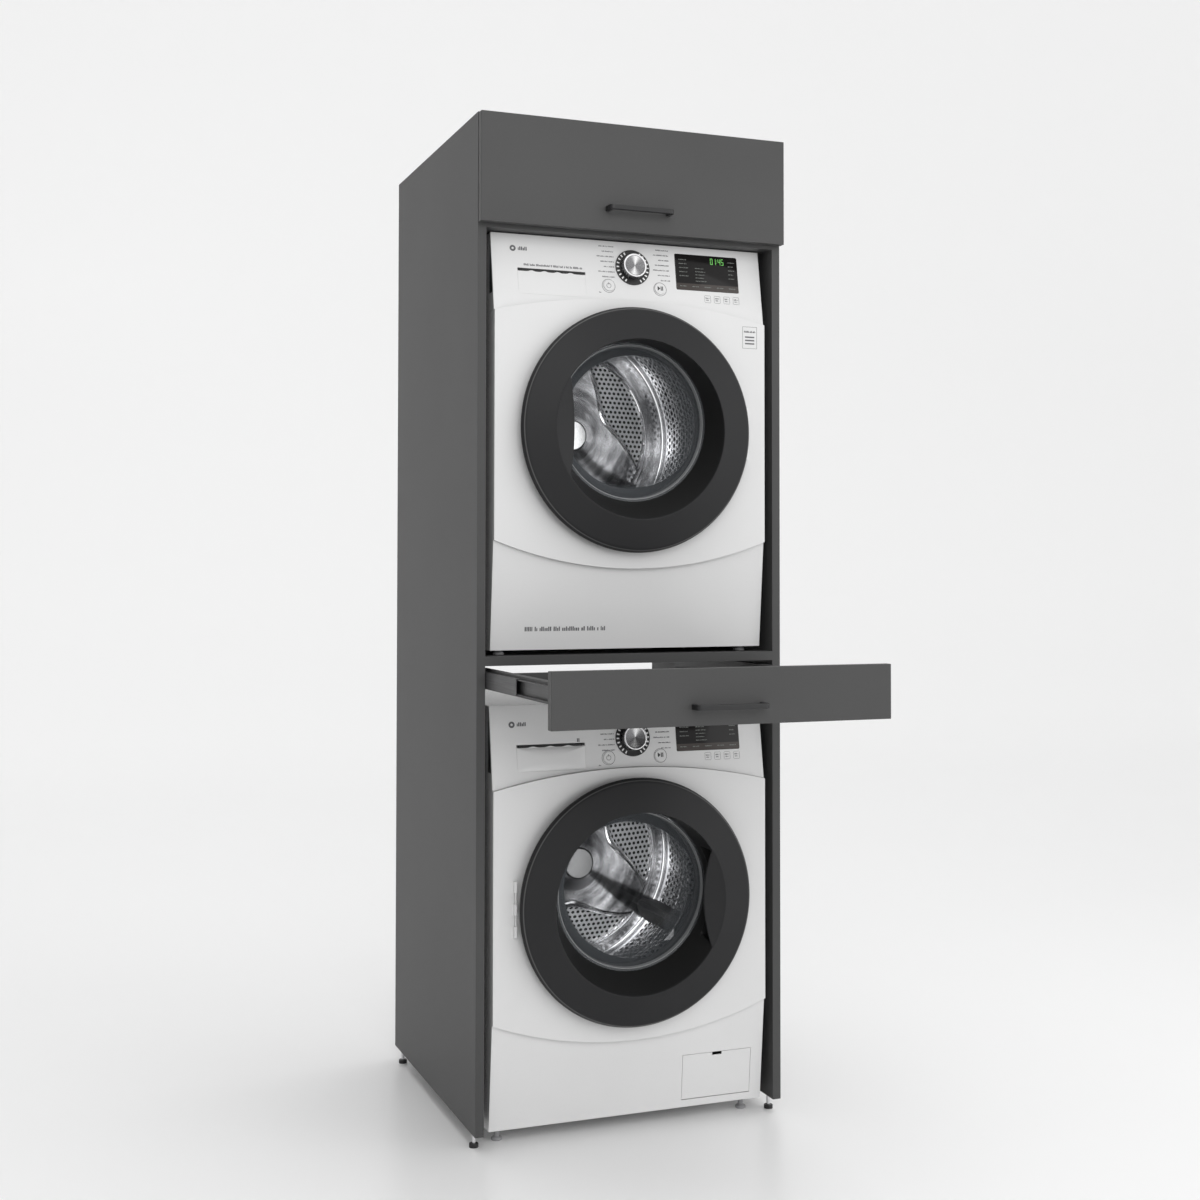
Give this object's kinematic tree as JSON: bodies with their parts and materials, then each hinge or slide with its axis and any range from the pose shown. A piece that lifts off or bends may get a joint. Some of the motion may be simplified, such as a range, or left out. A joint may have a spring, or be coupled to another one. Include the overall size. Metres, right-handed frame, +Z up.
{
  "type": "washer dryer stack",
  "caption": "Tall cabinet with a front-loading washing machine at the bottom, a pull-out laundry drawer, a tumble dryer on a shelf above it and a flap-door compartment on top.",
  "frame": {"origin": "bottom centre of the bounding box at rest, on the floor, with the laundry drawer pulled out as drawn", "axes": "+X to the right seen from the front, +Y from the front to the back, +Z up"},
  "size_m": [0.677, 1.144, 2.0763],
  "materials": {
    "dark_laminate": "matte dark grey laminate",
    "black_metal": "satin",
    "black_plastic": "matte",
    "white_plastic": "satin",
    "white_enamel": "gloss",
    "grey_plastic": "matte",
    "dark_ring": "satin",
    "smoked_glass": "polished",
    "display_glass": "gloss",
    "chrome": "polished",
    "stainless": "brushed",
    "zinc_steel": "zinc plated",
    "grey_rubber": "matte"
  },
  "bodies": {
    "cabinet": {"side_panel_left": "dark_laminate", "side_panel_right": "dark_laminate", "top_panel": "dark_laminate", "compartment_floor": "dark_laminate", "compartment_back": "dark_laminate", "dryer_shelf": "dark_laminate", "rear_rails": "dark_laminate", "cabinet_foot_stems": "chrome", "cabinet_foot_pads": "black_plastic", "flap_hinge_leaves": "zinc_steel", "runner_cabinet_rails": "zinc_steel", "washer_casing": "white_enamel", "washer_top_cover": "white_enamel", "washer_front_panel": "white_plastic", "washer_fascia": "white_plastic", "washer_tub": "grey_plastic", "washer_gasket": "grey_rubber", "washer_dampers": "grey_plastic", "washer_pump": "grey_plastic", "washer_feet": "black_plastic", "dryer_casing": "white_enamel", "dryer_top_cover": "white_enamel", "dryer_front_panel": "white_plastic", "dryer_fascia": "white_plastic", "dryer_bulkhead": "grey_plastic", "dryer_rear_support": "zinc_steel", "dryer_heat_pump": "grey_plastic", "dryer_feet": "grey_plastic", "knob_bezels": "black_plastic", "display_windows": "display_glass", "door_hinges": "white_plastic"},
    "flap": {"flap_door": "dark_laminate", "flap_handle": "black_metal", "flap_hinge_door_leaves": "zinc_steel"},
    "laundry_drawer": {"drawer_front": "dark_laminate", "drawer_handle": "black_metal", "drawer_sides": "dark_laminate", "drawer_bottom": "dark_laminate", "drawer_back": "dark_laminate", "runner_drawer_rails": "zinc_steel"},
    "runner_middles": {"runner_middle_rails": "zinc_steel"},
    "washer_door": {"washer_door_ring": "dark_ring", "washer_door_glass": "smoked_glass"},
    "dryer_door": {"dryer_door_ring": "dark_ring", "dryer_door_glass": "smoked_glass"},
    "washer_drum_set": {"washer_drum": "stainless", "washer_lifters": "grey_plastic", "washer_motor_rotor": "zinc_steel"},
    "dryer_drum_set": {"dryer_drum": "stainless", "dryer_lifters": "grey_plastic"},
    "detergent_drawer": {"washer_detergent_drawer": "white_plastic"},
    "water_tank": {"dryer_water_tank": "white_plastic"},
    "washer_knob": {"washer_program_knob": "chrome"},
    "dryer_knob": {"dryer_program_knob": "chrome"},
    "washer_power": {"washer_power_button": "white_plastic"},
    "washer_start": {"washer_start_button": "white_plastic"},
    "dryer_power": {"dryer_power_button": "white_plastic"},
    "dryer_start": {"dryer_start_button": "white_plastic"},
    "filter_hatch": {"washer_filter_hatch": "white_plastic"},
    "pump_filter": {"washer_pump_filter": "grey_plastic"}
  },
  "joints": [
    {"name": "flap_lift", "type": "hinge", "parent": "cabinet", "child": "flap", "pos_m": [0, -0.09385, 2.0736], "axis": [-1, 0, 0], "range_deg": [0, 90]},
    {"name": "laundry_drawer_slide", "type": "slide", "parent": "cabinet", "child": "laundry_drawer", "axis": [0, -1, 0], "range_m": [-0.4301, 0.05]},
    {"name": "runner_middles_slide", "type": "slide", "parent": "cabinet", "child": "runner_middles", "axis": [0, -1, 0], "range_m": [-0.21505, 0.025]},
    {"name": "washer_door_swing", "type": "hinge", "parent": "cabinet", "child": "washer_door", "pos_m": [-0.256, -0.0966, 0.4752], "axis": [0, 0, -1], "range_deg": [0, 105]},
    {"name": "dryer_door_swing", "type": "hinge", "parent": "cabinet", "child": "dryer_door", "pos_m": [0.256, -0.0966, 1.4439], "axis": [0, 0, 1], "range_deg": [0, 105]},
    {"name": "washer_drum_spin", "type": "hinge", "parent": "cabinet", "child": "washer_drum_set", "pos_m": [0, 0.1542, 0.4942], "axis": [0, 1, 0], "continuous": true},
    {"name": "dryer_drum_spin", "type": "hinge", "parent": "cabinet", "child": "dryer_drum_set", "pos_m": [0, 0.1882, 1.4629], "axis": [0, 1, 0], "continuous": true},
    {"name": "detergent_drawer_slide", "type": "slide", "parent": "cabinet", "child": "detergent_drawer", "axis": [0, -1, 0], "range_m": [0, 0.22]},
    {"name": "water_tank_slide", "type": "slide", "parent": "cabinet", "child": "water_tank", "axis": [0, -1, 0], "range_m": [0, 0.36]},
    {"name": "washer_knob_turn", "type": "hinge", "parent": "cabinet", "child": "washer_knob", "pos_m": [0.006, -0.07061, 0.806], "axis": [0, -0.9874, 0.1582], "continuous": true},
    {"name": "dryer_knob_turn", "type": "hinge", "parent": "cabinet", "child": "dryer_knob", "pos_m": [0.006, -0.06781, 1.788], "axis": [0, -0.9864, 0.1642], "continuous": true},
    {"name": "washer_power_press", "type": "slide", "parent": "cabinet", "child": "washer_power", "axis": [0, 0.9874, -0.1582], "range_m": [0, 0.0015], "stiffness_N_per_m": 400, "springref_m": -0.001},
    {"name": "washer_start_press", "type": "slide", "parent": "cabinet", "child": "washer_start", "axis": [0, 0.9874, -0.1582], "range_m": [0, 0.0015], "stiffness_N_per_m": 400, "springref_m": -0.001},
    {"name": "dryer_power_press", "type": "slide", "parent": "cabinet", "child": "dryer_power", "axis": [0, 0.9864, -0.1642], "range_m": [0, 0.0015], "stiffness_N_per_m": 400, "springref_m": -0.001},
    {"name": "dryer_start_press", "type": "slide", "parent": "cabinet", "child": "dryer_start", "axis": [0, 0.9864, -0.1642], "range_m": [0, 0.0015], "stiffness_N_per_m": 400, "springref_m": -0.001},
    {"name": "filter_hatch_swing", "type": "hinge", "parent": "cabinet", "child": "filter_hatch", "pos_m": [0.19675, -0.06459, 0.0481], "axis": [1, 0, 0], "range_deg": [0, 85]},
    {"name": "pump_filter_turn", "type": "hinge", "parent": "cabinet", "child": "pump_filter", "pos_m": [0.196, 0.0082, 0.0917], "axis": [0, 1, 0], "continuous": true}
  ],
  "couplings": [
    {"joint": "runner_middles_slide", "follows": "laundry_drawer_slide", "ratio": 0.5}
  ]
}
